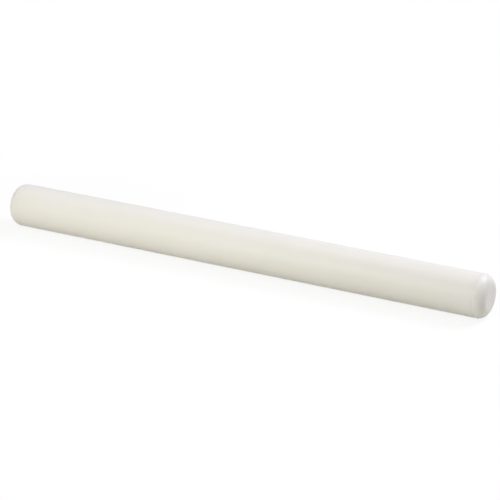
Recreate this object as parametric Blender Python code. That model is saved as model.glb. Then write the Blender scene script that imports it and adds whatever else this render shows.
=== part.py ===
"""Fondant rolling pin without handles.

A heavy-walled extruded tube is closed flush at each end by a moulded cap that is pressed into its bore.
Metres, +Z up. The pin lies along X. The origin is on the worktop, under the middle of its length.
"""

import math

import bmesh
import bpy
from mathutils import Matrix, Vector

# The whole pin
PIN_LENGTH = 0.508
PIN_DIAMETER = 0.042

# The tube
BORE_DIAMETER = 0.028
MOUTH_CHAMFER = 0.0012
OUTER_EDGE_BREAK = 0.0002

# The caps: what shows
RIM_ROUNDING = 0.010
CAP_LAND = 0.0010

# The caps: what is hidden in the tube
SKIN_THICKNESS = 0.0028
SPIGOT_LENGTH = 0.020
SPIGOT_WALL = 0.0024
SPIGOT_LEAD_IN = 0.0010
SPIGOT_LEAD_IN_LENGTH = 0.0025
CUP_DRAFT = math.radians(1.0)
CUP_FILLET = 0.0010
CRUSH_RIB_COUNT = 8
CRUSH_RIB_HEIGHT = 0.0006
CRUSH_RIB_CREST = 0.0007
CRUSH_RIB_BASE = 0.0016
WEB_COUNT = 8
WEB_THICKNESS = 0.0014

# Clearances between the pieces
SHOULDER_GAP = 0.0003
BORE_GAP = 0.0003

# Fineness of the round surfaces
FACETS = 72
ROUNDING_STEPS = 8
GROOVE_STEPS = 5
FILLET_STEPS = 3

# Worked out from the sizes above
PIN_RADIUS = PIN_DIAMETER / 2
BORE_RADIUS = BORE_DIAMETER / 2
HALF_FACET = math.pi / FACETS
AXIS_HEIGHT = PIN_RADIUS * math.cos(HALF_FACET)
CAP_HEAD_LENGTH = CAP_LAND + RIM_ROUNDING
JOINT_FROM_MIDDLE = PIN_LENGTH / 2 - CAP_HEAD_LENGTH
TUBE_LENGTH = 2 * (JOINT_FROM_MIDDLE - SHOULDER_GAP)
CREST_RADIUS = BORE_RADIUS - BORE_GAP
SPIGOT_RADIUS = CREST_RADIUS - CRUSH_RIB_HEIGHT
CUP_MOUTH_RADIUS = SPIGOT_RADIUS - SPIGOT_WALL
CUP_FLOOR = CAP_HEAD_LENGTH - SKIN_THICKNESS
CUP_DEPTH = CUP_FLOOR + SPIGOT_LENGTH
CUP_FLOOR_RADIUS = CUP_MOUTH_RADIUS - CUP_DEPTH * math.tan(CUP_DRAFT)
ROUNDING_CENTRE = (CAP_LAND, PIN_RADIUS - RIM_ROUNDING)

# Looks: both are cream-white polyethylene, drawn for the tube and moulded, a touch glossier, for the caps
TUBE_COLOUR = (0.80, 0.778, 0.704, 1.0)
CAP_COLOUR = (0.80, 0.78, 0.715, 1.0)
TUBE_ROUGHNESS = 0.42
CAP_ROUGHNESS = 0.38

# Tolerances of the mesh work
WELD_DISTANCE = 1e-6
SMOOTH_BELOW = math.radians(30)


def plastic(name, colour, roughness):
    """A satin plastic of one colour."""
    material = bpy.data.materials.new(name)
    material.use_nodes = True
    surface = material.node_tree.nodes["Principled BSDF"]
    surface.inputs["Base Color"].default_value = colour
    surface.inputs["Roughness"].default_value = roughness
    surface.inputs["Metallic"].default_value = 0.0
    material.diffuse_color = colour
    return material


def arc(centre, radius, start, end, steps):
    """Points (along, out) on a round stretch. Angle 0 points along the axis, 90 degrees points outwards."""
    angles = [start + (end - start) * step / steps for step in range(steps + 1)]
    return [
        (centre[0] + radius * math.cos(angle), centre[1] + radius * math.sin(angle))
        for angle in angles
    ]


def turned(name, section, closed):
    """A body turned about X from a section of (along, out) points, with a flat facet straight below."""
    body = bmesh.new()
    across, up = math.sin(HALF_FACET), math.cos(HALF_FACET)
    points = [body.verts.new((along, out * across, out * up)) for along, out in section]
    following = points[1:] + points[:1] if closed else points[1:]
    for one, other in zip(points, following):
        body.edges.new((one, other))
    bmesh.ops.spin(
        body,
        geom=body.verts[:] + body.edges[:],
        cent=(0, 0, 0),
        axis=(1, 0, 0),
        angle=2 * math.pi,
        steps=FACETS,
    )
    return finished_mesh(name, body)


def finished_mesh(name, body):
    """The mesh of a bmesh, with its doubled points merged and its faces pointing out."""
    bmesh.ops.remove_doubles(body, verts=body.verts, dist=WELD_DISTANCE)
    bmesh.ops.recalc_face_normals(body, faces=body.faces)
    mesh = bpy.data.meshes.new(name)
    body.to_mesh(mesh)
    body.free()
    return mesh


def add_prism(body, outline, depth):
    """Adds to body the solid swept by an outline through a depth vector, half of it to each side."""
    half = Vector(depth) / 2
    face = body.faces.new([body.verts.new(Vector(point) - half) for point in outline])
    swept = bmesh.ops.extrude_face_region(body, geom=[face])
    top = [item for item in swept["geom"] if isinstance(item, bmesh.types.BMVert)]
    bmesh.ops.translate(body, verts=top, vec=depth)
    return [*face.verts, *top]


def ring_of_prisms(name, outline, depth, count, first_angle):
    """Equal prisms spread evenly round the X axis. The outline is that of one which stands upright."""
    body = bmesh.new()
    for place in range(count):
        turn = Matrix.Rotation(first_angle + place * 2 * math.pi / count, 4, "X")
        corners = add_prism(body, outline, depth)
        bmesh.ops.transform(body, matrix=turn, verts=corners)
    return finished_mesh(name, body)


def tube_section():
    """The closed section of the tube's wall: outside, right end, bore, left end."""
    half = TUBE_LENGTH / 2
    end = [
        (half - OUTER_EDGE_BREAK, PIN_RADIUS),
        (half, PIN_RADIUS - OUTER_EDGE_BREAK),
        (half, BORE_RADIUS + MOUTH_CHAMFER),
        (half - MOUTH_CHAMFER, BORE_RADIUS),
    ]
    return end + [(-along, out) for along, out in reversed(end)]


def groove_arc(offset, innermost):
    """The cap's rounding drawn inwards by an offset, from the land down to the radius innermost."""
    radius = RIM_ROUNDING - offset
    rise = max(0.0, (innermost - ROUNDING_CENTRE[1]) / radius)
    points = arc(ROUNDING_CENTRE, radius, math.pi / 2, math.asin(rise), GROOVE_STEPS)
    if rise == 0.0:
        points.append((points[-1][0], innermost))
    return points


def cap_section():
    """The open section of a cap: end face, rim, groove, spigot, cup, and back to the axis.

    The joint with the tube is at 0 along the axis, with the end face on the + side of it.
    """
    cup_corner = (CUP_FLOOR - CUP_FILLET, CUP_FLOOR_RADIUS - CUP_FILLET)
    return [
        (CAP_HEAD_LENGTH, 0.0),
        *arc(ROUNDING_CENTRE, RIM_ROUNDING, 0.0, math.pi / 2, ROUNDING_STEPS),
        (OUTER_EDGE_BREAK, PIN_RADIUS),
        (0.0, PIN_RADIUS - OUTER_EDGE_BREAK),
        (0.0, PIN_RADIUS - SKIN_THICKNESS),
        *groove_arc(SKIN_THICKNESS, SPIGOT_RADIUS),
        (SPIGOT_LEAD_IN_LENGTH - SPIGOT_LENGTH, SPIGOT_RADIUS),
        (-SPIGOT_LENGTH, SPIGOT_RADIUS - SPIGOT_LEAD_IN),
        (-SPIGOT_LENGTH, CUP_MOUTH_RADIUS),
        *arc(cup_corner, CUP_FILLET, math.pi / 2, 0.0, FILLET_STEPS),
        (CUP_FLOOR, 0.0),
    ]


def web_mesh():
    """The webs that carry the rim off the spigot, each with its ends buried in the walls that it ties."""
    buried = SKIN_THICKNESS / 2
    foot = SPIGOT_RADIUS - SPIGOT_WALL / 2
    set_back = CAP_LAND / 2
    outline = [
        (set_back, 0.0, foot),
        (set_back, 0.0, PIN_RADIUS - buried),
        *((along, 0.0, out) for along, out in groove_arc(buried, foot)),
    ]
    return ring_of_prisms("webs", outline, (0.0, WEB_THICKNESS, 0.0), WEB_COUNT, 0.0)


def crush_rib_mesh():
    """The tapered ribs along the spigot that grip the bore. They start behind the lead-in."""
    front = SPIGOT_LEAD_IN_LENGTH - SPIGOT_LENGTH
    back = -MOUTH_CHAMFER
    middle = (front + back) / 2
    foot = SPIGOT_RADIUS - SPIGOT_WALL / 3
    outline = [
        (middle, -CRUSH_RIB_BASE / 2, foot),
        (middle, CRUSH_RIB_BASE / 2, foot),
        (middle, CRUSH_RIB_CREST / 2, CREST_RADIUS),
        (middle, -CRUSH_RIB_CREST / 2, CREST_RADIUS),
    ]
    run = (back - front, 0.0, 0.0)
    between_webs = math.pi / WEB_COUNT
    return ring_of_prisms("crush_ribs", outline, run, CRUSH_RIB_COUNT, between_webs)


def united(base, *added):
    """The base mesh with the others joined to it as one body."""
    scene = bpy.context.scene.collection
    helpers = [bpy.data.objects.new(mesh.name, mesh) for mesh in (base, *added)]
    for helper in helpers:
        scene.objects.link(helper)
    for helper in helpers[1:]:
        join = helpers[0].modifiers.new(helper.name, "BOOLEAN")
        join.operation = "UNION"
        join.object = helper
    graph = bpy.context.evaluated_depsgraph_get()
    whole = bpy.data.meshes.new_from_object(helpers[0].evaluated_get(graph))
    for helper in helpers:
        bpy.data.objects.remove(helper)
    return whole


def place(name, mesh, material, location, turn, carrier):
    """Puts one named piece on the pin, shaded smooth over its round surfaces."""
    mesh.materials.clear()
    mesh.materials.append(material)
    mesh.shade_smooth()
    mesh.set_sharp_from_angle(angle=SMOOTH_BELOW)
    piece = bpy.data.objects.new(name, mesh)
    bpy.context.scene.collection.objects.link(piece)
    piece.parent = carrier
    piece.location = location
    piece.rotation_euler = (0.0, 0.0, turn)


def build_pin():
    """The tube with a cap in each end, all carried by an empty on the pin's axis."""
    axis = bpy.data.objects.new("rolling_pin", None)
    axis.location = (0.0, 0.0, AXIS_HEIGHT)
    bpy.context.scene.collection.objects.link(axis)

    tube_plastic = plastic("drawn_polyethylene", TUBE_COLOUR, TUBE_ROUGHNESS)
    cap_plastic = plastic("moulded_polyethylene", CAP_COLOUR, CAP_ROUGHNESS)

    tube = turned("barrel_tube", tube_section(), closed=True)
    place("barrel_tube", tube, tube_plastic, (0.0, 0.0, 0.0), 0.0, axis)

    shell = turned("cap_shell", cap_section(), closed=False)
    cap = united(shell, web_mesh(), crush_rib_mesh())
    cap.name = "end_cap"
    place("end_cap_right", cap, cap_plastic, (JOINT_FROM_MIDDLE, 0.0, 0.0), 0.0, axis)
    place("end_cap_left", cap, cap_plastic, (-JOINT_FROM_MIDDLE, 0.0, 0.0), math.pi, axis)


for left_over in list(bpy.data.objects):
    bpy.data.objects.remove(left_over)
build_pin()
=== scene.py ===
import math

import bmesh
import bpy
import numpy as np
from mathutils import Matrix, Vector


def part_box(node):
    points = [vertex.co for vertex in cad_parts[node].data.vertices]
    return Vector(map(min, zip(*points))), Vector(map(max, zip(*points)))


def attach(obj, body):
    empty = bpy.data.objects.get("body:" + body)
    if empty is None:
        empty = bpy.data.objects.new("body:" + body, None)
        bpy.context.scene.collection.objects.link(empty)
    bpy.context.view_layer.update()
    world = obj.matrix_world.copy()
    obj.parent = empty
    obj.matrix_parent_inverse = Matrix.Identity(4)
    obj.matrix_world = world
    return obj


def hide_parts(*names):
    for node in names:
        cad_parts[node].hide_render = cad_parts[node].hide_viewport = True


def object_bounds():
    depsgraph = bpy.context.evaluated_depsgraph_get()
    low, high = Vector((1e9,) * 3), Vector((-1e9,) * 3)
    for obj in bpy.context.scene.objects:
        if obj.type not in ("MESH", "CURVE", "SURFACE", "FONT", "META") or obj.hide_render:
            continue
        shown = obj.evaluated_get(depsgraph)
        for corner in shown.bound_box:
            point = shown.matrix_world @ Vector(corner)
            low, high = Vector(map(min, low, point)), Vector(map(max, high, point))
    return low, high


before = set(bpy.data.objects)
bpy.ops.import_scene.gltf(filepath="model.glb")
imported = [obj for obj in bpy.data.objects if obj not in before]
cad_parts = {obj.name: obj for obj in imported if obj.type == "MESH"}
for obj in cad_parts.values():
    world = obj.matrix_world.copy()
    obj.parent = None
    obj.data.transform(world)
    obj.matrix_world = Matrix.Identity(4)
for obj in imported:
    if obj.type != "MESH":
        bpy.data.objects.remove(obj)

cad_low, cad_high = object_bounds()

# The barrel is the long tube that rolls the paste. It is high-density polyethylene, drawn through a ring die
# with a wall heavy enough not to flex between two hands. It is cut square and its edges are scraped, so that
# the cap's rim runs on from it with only a hairline between them.
MM = 0.001
PIN_RADIUS = (cad_high.z - cad_low.z) / 2
AXIS_HEIGHT = (cad_high.z + cad_low.z) / 2
PIN_HALF_LENGTH = cad_high.x
BARREL_HALF_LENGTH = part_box("barrel_tube")[1].x
BORE_RADIUS = 14.0 * MM
MOUTH_CHAMFER = 1.2 * MM
SCRAPED_EDGE = 0.06 * MM

# A ring of points stands this close beside each fine edge, so that the smooth shading turns only there.
EDGE_BAND = 0.4 * MM

# Fineness of the meshes
BARREL_COLUMNS = 360
BARREL_RING_SPACING = 5.0 * MM
BORE_STEPS = 12
BORE_MOUTH_STEPS = 2
END_FACE_STEPS = 4
EDGE_STEPS = 4
MERGE_DISTANCE = 0.0005 * MM
SHARP_FROM = math.radians(40)


def straight(start, end, steps):
    """Points (along, out) from start to end in equal steps, with both ends."""
    return np.linspace(start, end, steps + 1)


def arc(centre, radius, start, end, steps):
    """Points (along, out) on a round stretch from one angle in degrees to another: the centre, plus the
    radius times the angle's cosine along and its sine out."""
    angle = np.radians(np.linspace(start, end, steps + 1))
    return np.asarray(centre) + radius * np.stack([np.cos(angle), np.sin(angle)], 1)


def swung(along, out, angle):
    """Points of a round piece: x is along, y is out times the angle's sine, and z is the height of the pin's
    axis plus out times the angle's cosine, so that angle 0 is straight up."""
    return np.stack(np.broadcast_arrays(along, out * np.sin(angle), AXIS_HEIGHT + out * np.cos(angle)), -1)


def skinned(name, points, closed_section, material):
    """A piece with a face between each four neighbours in a grid of points, whose columns run once round the
    pin. Points that coincide, such as those of a pole, are merged, and then the faces are turned outwards."""
    rings, columns = points.shape[:2]
    ring = np.arange(rings if closed_section else rings - 1)[:, None]
    column = np.arange(columns)
    next_ring = (ring + 1) % rings
    next_column = (column + 1) % columns
    corners = [ring * columns + column, next_ring * columns + column,
               next_ring * columns + next_column, ring * columns + next_column]
    mesh = bpy.data.meshes.new(name)
    mesh.from_pydata(points.reshape(-1, 3).tolist(), [], np.stack(corners, -1).reshape(-1, 4).tolist())
    body = bmesh.new()
    body.from_mesh(mesh)
    bmesh.ops.remove_doubles(body, verts=body.verts, dist=MERGE_DISTANCE)
    bmesh.ops.dissolve_degenerate(body, edges=body.edges, dist=MERGE_DISTANCE)
    bmesh.ops.recalc_face_normals(body, faces=body.faces)
    body.to_mesh(mesh)
    body.free()
    mesh.shade_smooth()
    mesh.set_sharp_from_angle(angle=SHARP_FROM)
    mesh.materials.append(material)
    piece = bpy.data.objects.new(name, mesh)
    bpy.context.scene.collection.objects.link(piece)
    return piece


def linear(hex_colour):
    """Linear light of an sRGB hex value. A channel c, from 0 to 1, is c / 12.92 up to 0.04045, and above that
    it is (c + 0.055) / 1.055 to the power of 2.4."""
    channels = np.array([int(hex_colour[at:at + 2], 16) for at in (1, 3, 5)]) / 255
    light = np.where(channels <= 0.04045, channels / 12.92, ((channels + 0.055) / 1.055) ** 2.4)
    return (*light.tolist(), 1.0)


def add_node(tree, kind, settings, inputs):
    """A new node with its settings. Each input, by its socket's name or number, is a value or the output that
    is linked to it."""
    node = tree.nodes.new(kind)
    for name, value in settings.items():
        setattr(node, name, value)
    for name, value in inputs.items():
        if isinstance(value, bpy.types.NodeSocket):
            tree.links.new(value, node.inputs[name])
        else:
            node.inputs[name].default_value = value
    return node


# Drawn high-density polyethylene: cream-white and satin. The die leaves faint lines along the tube, which the
# eye sees as a soft lengthwise streak in the shine. The resin clouds a little over a few centimetres, and
# handling changes the gloss in patches of a fingertip's size. Light sinks in far enough to soften the edges
# of shadows.
DRAWN_CREAM = "#E8E6E0"
DRAWN_CREAM_DEEP = "#E6E4DC"
CLOUD_SIZE = 45 * MM
HANDLING_SIZE = 18 * MM

# Real die lines stand some tenths of a millimetre apart, which is finer than a pixel. They are drawn as
# coarse as this so that they can show.
DIE_LINE_SPACING = 1.6 * MM
DIE_LINE_LENGTH = 300 * MM
DIE_LINE_DEPTH = 0.004 * MM

# Roughness between the glossiest die line and the dullest, and how far handling moves it up and down
GLOSSIEST_LINE = 0.34
DULLEST_LINE = 0.42
HANDLING_CHANGE = 0.03

# What polyethylene does with light. Red light sinks in deepest.
POLYETHYLENE_IOR = 1.54
POLYETHYLENE_SPECULAR = 0.25
SINKING_SHARE = 0.3
SINKING_DEPTH = 2.5 * MM
SINKING_BY_CHANNEL = (1.0, 0.9, 0.7)

# A noise pattern keeps mostly between these two values.
NOISE_LOW = 0.3
NOISE_HIGH = 0.7

# A Mix node has sockets for each kind of data in turn. These are the share of the second colour, the two
# colours, and the mixed colour among its outputs.
MIX_SHARE = 0
MIX_FIRST = 6
MIX_SECOND = 7
MIX_RESULT = 2

drawn = bpy.data.materials.new("drawn_high_density_polyethylene")
drawn.use_nodes = True
tree = drawn.node_tree
tree.nodes.clear()
here = add_node(tree, "ShaderNodeTexCoord", {}, {}).outputs["Object"]
drawn_out = add_node(tree, "ShaderNodeMapping", {}, {
    "Vector": here, "Scale": (DIE_LINE_SPACING / DIE_LINE_LENGTH, 1, 1)}).outputs["Vector"]
die_lines = add_node(tree, "ShaderNodeTexNoise", {}, {
    "Vector": drawn_out, "Scale": 1 / DIE_LINE_SPACING, "Detail": 2.0, "Roughness": 0.55}).outputs["Fac"]
cloud = add_node(tree, "ShaderNodeTexNoise", {}, {
    "Vector": here, "Scale": 1 / CLOUD_SIZE, "Detail": 3.0, "Roughness": 0.5}).outputs["Fac"]
handling = add_node(tree, "ShaderNodeTexNoise", {}, {
    "Vector": here, "Scale": 1 / HANDLING_SIZE, "Detail": 4.0, "Roughness": 0.6}).outputs["Fac"]
depth_of_colour = add_node(tree, "ShaderNodeMapRange", {}, {
    "Value": cloud, "From Min": NOISE_LOW, "From Max": NOISE_HIGH}).outputs["Result"]
colour = add_node(tree, "ShaderNodeMix", {"data_type": "RGBA"}, {
    MIX_SHARE: depth_of_colour,
    MIX_FIRST: linear(DRAWN_CREAM), MIX_SECOND: linear(DRAWN_CREAM_DEEP)}).outputs[MIX_RESULT]
line_gloss = add_node(tree, "ShaderNodeMapRange", {}, {
    "Value": die_lines, "From Min": NOISE_LOW, "From Max": NOISE_HIGH,
    "To Min": GLOSSIEST_LINE, "To Max": DULLEST_LINE}).outputs["Result"]
handled_gloss = add_node(tree, "ShaderNodeMapRange", {}, {
    "Value": handling, "From Min": NOISE_LOW, "From Max": NOISE_HIGH,
    "To Min": -HANDLING_CHANGE, "To Max": HANDLING_CHANGE}).outputs["Result"]
roughness = add_node(tree, "ShaderNodeMath", {"operation": "ADD"}, {
    0: line_gloss, 1: handled_gloss}).outputs[0]
bump = add_node(tree, "ShaderNodeBump", {}, {
    "Height": die_lines, "Distance": DIE_LINE_DEPTH, "Strength": 1.0}).outputs["Normal"]
surface = add_node(tree, "ShaderNodeBsdfPrincipled", {"subsurface_method": "RANDOM_WALK"}, {
    "Base Color": colour, "Roughness": roughness, "Normal": bump,
    "IOR": POLYETHYLENE_IOR, "Specular IOR Level": POLYETHYLENE_SPECULAR,
    "Subsurface Weight": SINKING_SHARE, "Subsurface Radius": SINKING_BY_CHANNEL,
    "Subsurface Scale": SINKING_DEPTH})
add_node(tree, "ShaderNodeOutputMaterial", {}, {"Surface": surface.outputs["BSDF"]})

barrel_end = np.concatenate([
    [(BARREL_HALF_LENGTH - EDGE_BAND, PIN_RADIUS)],
    arc((BARREL_HALF_LENGTH - SCRAPED_EDGE, PIN_RADIUS - SCRAPED_EDGE), SCRAPED_EDGE, 90, 0, EDGE_STEPS),
    straight((BARREL_HALF_LENGTH, PIN_RADIUS - 2 * SCRAPED_EDGE),
             (BARREL_HALF_LENGTH, BORE_RADIUS + MOUTH_CHAMFER), END_FACE_STEPS),
    straight((BARREL_HALF_LENGTH - MOUTH_CHAMFER, BORE_RADIUS),
             (BARREL_HALF_LENGTH - 4 * MOUTH_CHAMFER, BORE_RADIUS), BORE_MOUTH_STEPS),
])
other_end = barrel_end[::-1] * (-1, 1)
outside_steps = round(2 * BARREL_HALF_LENGTH / BARREL_RING_SPACING)
outside = straight(other_end[-1], barrel_end[0], outside_steps)[1:-1]
bore = straight(barrel_end[-1], other_end[0], BORE_STEPS)[1:-1]
section = np.concatenate([barrel_end, bore, other_end, outside])
around = np.radians(np.arange(BARREL_COLUMNS) * 360 / BARREL_COLUMNS)
barrel = skinned("barrel", swung(section[:, :1], section[:, 1:], around), True, drawn)
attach(barrel, "root")
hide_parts("barrel_tube")

# An end cap closes each end of the barrel. It is moulded in the same polyethylene, with a broad rounded rim
# and a flat face in front. Behind, its head is cored out to an even skin that eight webs tie to a hollow
# spigot, and eight crush ribs along the spigot hold it in the bore for good.
RIM_ROUNDING = 10.0 * MM
SKIN_THICKNESS = 2.8 * MM
HAIRLINE = 0.03 * MM
MOULDED_EDGE = 0.06 * MM
CRUSH_RIB_HEIGHT = 0.6 * MM
CRUSH_RIB_CREST = 0.7 * MM
CRUSH_RIB_BASE = 1.6 * MM
CRUSH_RIB_RAMP = 1.2 * MM
SPIGOT_WALL = 2.4 * MM
SPIGOT_LEAD_IN = 1.0 * MM
SPIGOT_LEAD_IN_LENGTH = 2.5 * MM
CUP_DRAFT = math.radians(1.0)
CUP_FILLET = 1.0 * MM
WEB_COUNT = 8
WEB_THICKNESS = 1.4 * MM
WEB_SET_BACK = 0.5 * MM

# Worked out from the sizes above, as distances along the pin from its middle and out from its axis
SHOULDER = BARREL_HALF_LENGTH + HAIRLINE
WEB_FACE = SHOULDER + WEB_SET_BACK
SPIGOT_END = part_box("end_cap_right")[0].x
RIM_START = PIN_HALF_LENGTH - RIM_ROUNDING
RIM_CENTRE = (RIM_START, PIN_RADIUS - RIM_ROUNDING)
SPIGOT_RADIUS = BORE_RADIUS - HAIRLINE - CRUSH_RIB_HEIGHT
CUP_MOUTH_RADIUS = SPIGOT_RADIUS - SPIGOT_WALL
CUP_FLOOR = PIN_HALF_LENGTH - SKIN_THICKNESS
CUP_FLOOR_RADIUS = CUP_MOUTH_RADIUS - (CUP_FLOOR - SPIGOT_END) * math.tan(CUP_DRAFT)
GROOVE_RADIUS = PIN_RADIUS - SKIN_THICKNESS
GROOVE_ROUNDING = RIM_ROUNDING - SKIN_THICKNESS

# Fineness of the cap's mesh
FACE_STEPS = 10
RIM_STEPS = 36
GROOVE_STEPS = 12
FILLET_STEPS = 5
CUP_FLOOR_STEPS = 4

# Moulded high-density polyethylene: the same cream, a touch glossier. The polished mould leaves a very fine
# grain, which the eye sees as a soft, even bloom in the shine, and the melt's flow clouds it faintly.
MOULDED_CREAM = "#E8E6E0"
MOULDED_CREAM_DEEP = "#E6E4DD"
FLOW_SIZE = 14 * MM

# The real grain is some hundredths of a millimetre across, which is finer than a pixel. It is drawn as coarse
# as this so that it can show.
MOULD_GRAIN = 0.8 * MM
MOULD_GRAIN_DEPTH = 0.003 * MM

# Roughness between the glossiest part of the flow and the dullest
GLOSSIEST_FLOW = 0.32
DULLEST_FLOW = 0.38

moulded = bpy.data.materials.new("moulded_high_density_polyethylene")
moulded.use_nodes = True
tree = moulded.node_tree
tree.nodes.clear()
here = add_node(tree, "ShaderNodeTexCoord", {}, {}).outputs["Object"]
grain = add_node(tree, "ShaderNodeTexNoise", {}, {
    "Vector": here, "Scale": 1 / MOULD_GRAIN, "Detail": 2.0, "Roughness": 0.5}).outputs["Fac"]
flow = add_node(tree, "ShaderNodeTexNoise", {}, {
    "Vector": here, "Scale": 1 / FLOW_SIZE, "Detail": 3.0, "Roughness": 0.5}).outputs["Fac"]
depth_of_colour = add_node(tree, "ShaderNodeMapRange", {}, {
    "Value": flow, "From Min": NOISE_LOW, "From Max": NOISE_HIGH}).outputs["Result"]
colour = add_node(tree, "ShaderNodeMix", {"data_type": "RGBA"}, {
    MIX_SHARE: depth_of_colour,
    MIX_FIRST: linear(MOULDED_CREAM), MIX_SECOND: linear(MOULDED_CREAM_DEEP)}).outputs[MIX_RESULT]
roughness = add_node(tree, "ShaderNodeMapRange", {}, {
    "Value": flow, "From Min": NOISE_LOW, "From Max": NOISE_HIGH,
    "To Min": GLOSSIEST_FLOW, "To Max": DULLEST_FLOW}).outputs["Result"]
bump = add_node(tree, "ShaderNodeBump", {}, {
    "Height": grain, "Distance": MOULD_GRAIN_DEPTH, "Strength": 1.0}).outputs["Normal"]
surface = add_node(tree, "ShaderNodeBsdfPrincipled", {"subsurface_method": "RANDOM_WALK"}, {
    "Base Color": colour, "Roughness": roughness, "Normal": bump,
    "IOR": POLYETHYLENE_IOR, "Specular IOR Level": POLYETHYLENE_SPECULAR,
    "Subsurface Weight": SINKING_SHARE, "Subsurface Radius": SINKING_BY_CHANNEL,
    "Subsurface Scale": SINKING_DEPTH})
add_node(tree, "ShaderNodeOutputMaterial", {}, {"Surface": surface.outputs["BSDF"]})

# The cap's section, from the middle of its face over the rim, round the groove, along the spigot and through
# the cup back to the axis
front = np.concatenate([
    straight((PIN_HALF_LENGTH, 0), (PIN_HALF_LENGTH, RIM_CENTRE[1]), FACE_STEPS),
    arc(RIM_CENTRE, RIM_ROUNDING, 0, 90, RIM_STEPS)[1:],
    [(SHOULDER + EDGE_BAND, PIN_RADIUS)],
    arc((SHOULDER + MOULDED_EDGE, PIN_RADIUS - MOULDED_EDGE), MOULDED_EDGE, 90, 180, EDGE_STEPS),
])
groove_end = math.degrees(math.asin((SPIGOT_RADIUS - RIM_CENTRE[1]) / GROOVE_ROUNDING))
groove = np.concatenate([
    [(SHOULDER, GROOVE_RADIUS), (WEB_FACE, GROOVE_RADIUS), (RIM_START, GROOVE_RADIUS)],
    arc(RIM_CENTRE, GROOVE_ROUNDING, 90, groove_end, GROOVE_STEPS)[1:],
    [(RIM_START, SPIGOT_RADIUS), (WEB_FACE, SPIGOT_RADIUS), (SHOULDER, SPIGOT_RADIUS)],
])
rib_start = SHOULDER - MOUTH_CHAMFER
rib_end = SPIGOT_END + SPIGOT_LEAD_IN_LENGTH
spigot = np.array([
    (rib_start, SPIGOT_RADIUS),
    (rib_start - CRUSH_RIB_RAMP, SPIGOT_RADIUS),
    (rib_end + CRUSH_RIB_RAMP, SPIGOT_RADIUS),
    (rib_end, SPIGOT_RADIUS),
])
back = np.concatenate([
    [(SPIGOT_END, SPIGOT_RADIUS - SPIGOT_LEAD_IN), (SPIGOT_END, CUP_MOUTH_RADIUS)],
    arc((CUP_FLOOR - CUP_FILLET, CUP_FLOOR_RADIUS - CUP_FILLET), CUP_FILLET, 90, 0, FILLET_STEPS),
    straight((CUP_FLOOR, CUP_FLOOR_RADIUS - 2 * CUP_FILLET), (CUP_FLOOR, 0), CUP_FLOOR_STEPS),
])
section = np.concatenate([front, groove, spigot, back])
along, out = section[:, :1], section[:, 1:]
row = np.arange(len(section))[:, None]
first_spigot_row = len(front) + len(groove)
in_groove = (row >= len(front)) & (row < first_spigot_row)

# Columns round one web, in degrees from its middle. Each side of the web is a double column, of which the
# inner one stops at the web's face. The last columns are the side and crest of a crush rib, which stands
# halfway between two webs.
SECTOR = 360 / WEB_COUNT
WEB_HALF_ANGLE = 2.5
WEB_COLUMNS_A_SIDE = 2
PLAIN_COLUMNS = np.arange(4.0, 19.0)
rib_base, rib_crest = np.degrees(np.arcsin(np.array([CRUSH_RIB_BASE, CRUSH_RIB_CREST]) / 2 / SPIGOT_RADIUS))
half_sector = np.concatenate([
    [0, WEB_HALF_ANGLE / 2, WEB_HALF_ANGLE, WEB_HALF_ANGLE], PLAIN_COLUMNS,
    [SECTOR / 2 - rib_base, SECTOR / 2 - rib_crest]])
sector = np.concatenate([-half_sector[:0:-1], half_sector, [SECTOR / 2]])
middle_column = len(half_sector) - 1
on_web = np.abs(np.arange(len(sector)) - middle_column) <= WEB_COLUMNS_A_SIDE

# In the groove, the columns at a web's sides stand half its thickness off its middle plane: their angle's
# sine is half the thickness over the distance out. Elsewhere every column keeps its own angle.
web_side = np.where(np.abs(sector) == WEB_HALF_ANGLE, np.sign(sector), 0.0)
web_angle = np.degrees(np.arcsin(WEB_THICKNESS / 2 / np.clip(out, SPIGOT_RADIUS, GROOVE_RADIUS)))
true_sector = sector + web_side * np.where(in_groove, web_angle - WEB_HALF_ANGLE, 0.0)
turns = SECTOR * np.arange(WEB_COUNT)[:, None]
angle = np.radians((true_sector[:, None, :] + turns).reshape(len(section), -1))
on_web = np.tile(on_web, WEB_COUNT)
along = np.where(in_groove & on_web, np.minimum(along, WEB_FACE), along)

# A crush rib stands at its full height on the spigot's two middle rows, and its ramps run out to the others.
rib_rise = np.interp(SECTOR / 2 - np.abs(sector), [rib_crest, rib_base], [1.0, 0.0])
rib_rows = np.isin(row, [first_spigot_row + 1, first_spigot_row + 2])
out = out + CRUSH_RIB_HEIGHT * np.where(rib_rows, np.tile(rib_rise, WEB_COUNT), 0.0)

for end, node, turn in (("right", "end_cap_right", 0.0), ("left", "end_cap_left", math.pi)):
    points = swung(along, out, angle) @ np.array(Matrix.Rotation(turn, 3, "Z")).T
    cap = skinned("cap_" + end, points, False, moulded)
    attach(cap, "root")
    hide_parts(node)

# The worktop is plain and white. What the camera or a shiny surface sees of it is its own white, less the
# soft shadow under the pin, and the light that it sends up to the pin is that of a pale board.
FLOOR_HALF = 6.0
BOARD_CREAM = "#D4D3CA"

# The shadow shows by this share close to the pin, and fades out between the two distances from its middle.
# Distances along the pin count by half, because the pin is long.
SHADE_SHARE = 0.15
SHADE_NEAR = 0.14
SHADE_FAR = 0.24
SHADE_ALONG = 0.5

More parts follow.
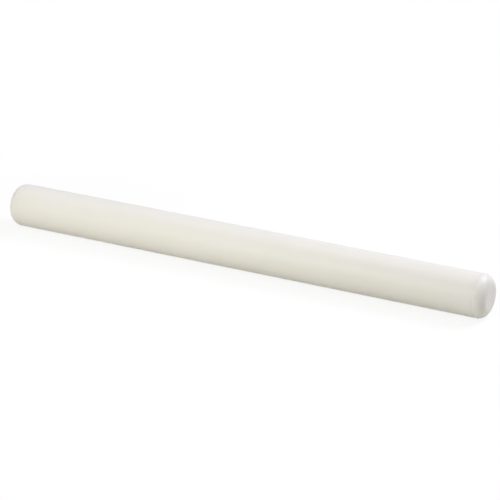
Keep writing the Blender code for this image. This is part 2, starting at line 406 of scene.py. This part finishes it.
worktop = bpy.data.materials.new("white_board")
worktop.use_nodes = True
tree = worktop.node_tree
tree.nodes.clear()
here = add_node(tree, "ShaderNodeTexCoord", {}, {}).outputs["Object"]
round_the_pin = add_node(tree, "ShaderNodeMapping", {}, {
    "Vector": here, "Scale": (SHADE_ALONG, 1, 1)}).outputs["Vector"]
reach = add_node(tree, "ShaderNodeVectorMath", {"operation": "LENGTH"}, {0: round_the_pin}).outputs["Value"]
shade_share = add_node(tree, "ShaderNodeMapRange", {"interpolation_type": "SMOOTHSTEP"}, {
    "Value": reach, "From Min": SHADE_NEAR, "From Max": SHADE_FAR,
    "To Min": SHADE_SHARE, "To Max": 0.0}).outputs["Result"]
shaded = add_node(tree, "ShaderNodeBsdfDiffuse", {}, {"Color": (1, 1, 1, 1)}).outputs["BSDF"]
bright = add_node(tree, "ShaderNodeEmission", {}, {
    "Color": (1, 1, 1, 1), "Strength": 1.0}).outputs["Emission"]
seen_white = add_node(tree, "ShaderNodeMixShader", {}, {
    0: shade_share, 1: bright, 2: shaded}).outputs["Shader"]
board = add_node(tree, "ShaderNodeBsdfDiffuse", {}, {"Color": linear(BOARD_CREAM)}).outputs["BSDF"]


def seen_directly(tree):
    """1 for camera, glossy and transmission rays, and 0 for the rays that light other things: the greatest of
    the three rays' own flags."""
    rays = add_node(tree, "ShaderNodeLightPath", {}, {}).outputs
    shiny = add_node(tree, "ShaderNodeMath", {"operation": "MAXIMUM"}, {
        0: rays["Is Glossy Ray"], 1: rays["Is Transmission Ray"]}).outputs[0]
    return add_node(tree, "ShaderNodeMath", {"operation": "MAXIMUM"}, {
        0: rays["Is Camera Ray"], 1: shiny}).outputs[0]


mixed = add_node(tree, "ShaderNodeMixShader", {}, {0: seen_directly(tree), 1: board, 2: seen_white})
add_node(tree, "ShaderNodeOutputMaterial", {}, {"Surface": mixed.outputs["Shader"]})
floor_mesh = bpy.data.meshes.new("worktop")
floor_mesh.from_pydata([(-FLOOR_HALF, -FLOOR_HALF, 0), (FLOOR_HALF, -FLOOR_HALF, 0),
                        (FLOOR_HALF, FLOOR_HALF, 0), (-FLOOR_HALF, FLOOR_HALF, 0)], [], [(0, 1, 2, 3)])
floor_mesh.materials.append(worktop)
floor = bpy.data.objects.new("worktop", floor_mesh)
bpy.context.scene.collection.objects.link(floor)

# Three square softboxes light the pin. The main one stands behind it to the right, the second is close in
# front and aimed to the left of its middle, and the third hangs overhead. The white room fills in the rest.
SOFTBOXES = {  # name: (azimuth, elevation, distance, side, aim along the pin, watts, colour)
    "softbox_back_right": (135, 45, 1.3, 0.7, 0.0, 11.6, "#F1F1FF"),
    "softbox_front": (0, 30, 0.9, 0.7, -0.2, 4.9, "#FFFDF7"),
    "softbox_overhead": (0, 90, 1.0, 0.6, 0.0, 0.75, "#FFFFFF"),
}
ROOM_LIGHT = 0.358
PIN_CENTRE = Vector((0, 0, AXIS_HEIGHT))


def direction(azimuth, elevation):
    """The way from the pin to a thing round it, 1 long. Azimuth 0 is in front of the pin and 90 beyond its
    right end. x is the azimuth's sine and y is minus its cosine, both times the elevation's cosine, and z is
    the elevation's sine."""
    turn, rise = math.radians(azimuth), math.radians(elevation)
    return Vector((math.sin(turn) * math.cos(rise), -math.cos(turn) * math.cos(rise), math.sin(rise)))


for name, (azimuth, elevation, distance, side, aim, watts, tint) in SOFTBOXES.items():
    lamp = bpy.data.lights.new(name, "AREA")
    lamp.size = side
    lamp.energy = watts
    lamp.color = linear(tint)[:3]
    softbox = bpy.data.objects.new(name, lamp)
    softbox.location = PIN_CENTRE + Vector((aim, 0, 0)) + distance * direction(azimuth, elevation)
    softbox.rotation_euler = direction(azimuth, elevation).to_track_quat("Z", "Y").to_euler()
    bpy.context.scene.collection.objects.link(softbox)

room = bpy.data.worlds.new("white_room")
room.use_nodes = True
tree = room.node_tree
tree.nodes.clear()
brightness = add_node(tree, "ShaderNodeMapRange", {}, {
    "Value": seen_directly(tree), "To Min": ROOM_LIGHT, "To Max": 1.0}).outputs["Result"]
background = add_node(tree, "ShaderNodeBackground", {}, {"Color": (1, 1, 1, 1), "Strength": brightness})
add_node(tree, "ShaderNodeOutputWorld", {}, {"Surface": background.outputs["Background"]})
bpy.context.scene.world = room

# The camera stands 2.25 m off with a long lens, in front of the pin and towards its right end, and looks down
# on it. It is level from side to side.
CAMERA_AZIMUTH = 27.206
CAMERA_ELEVATION = 22.863
CAMERA_DISTANCE = 2.2548
CAMERA_TO_THE_RIGHT = 0.00664
CAMERA_DOWN = 0.00170
SENSOR_WIDTH = 36.0
LENS = 169.93

view_back = direction(CAMERA_AZIMUTH, CAMERA_ELEVATION)
view_right = Vector((math.cos(math.radians(CAMERA_AZIMUTH)), math.sin(math.radians(CAMERA_AZIMUTH)), 0))
view_up = view_back.cross(view_right)
camera_data = bpy.data.cameras.new("camera")
camera_data.sensor_width = SENSOR_WIDTH
camera_data.lens = LENS
camera = bpy.data.objects.new("camera", camera_data)
camera.rotation_euler = Matrix((view_right, view_up, view_back)).transposed().to_euler()
camera.location = (PIN_CENTRE + CAMERA_DISTANCE * view_back
                   + CAMERA_TO_THE_RIGHT * view_right - CAMERA_DOWN * view_up)
bpy.context.scene.collection.objects.link(camera)
bpy.context.scene.camera = camera
bpy.context.scene.view_settings.view_transform = "Standard"
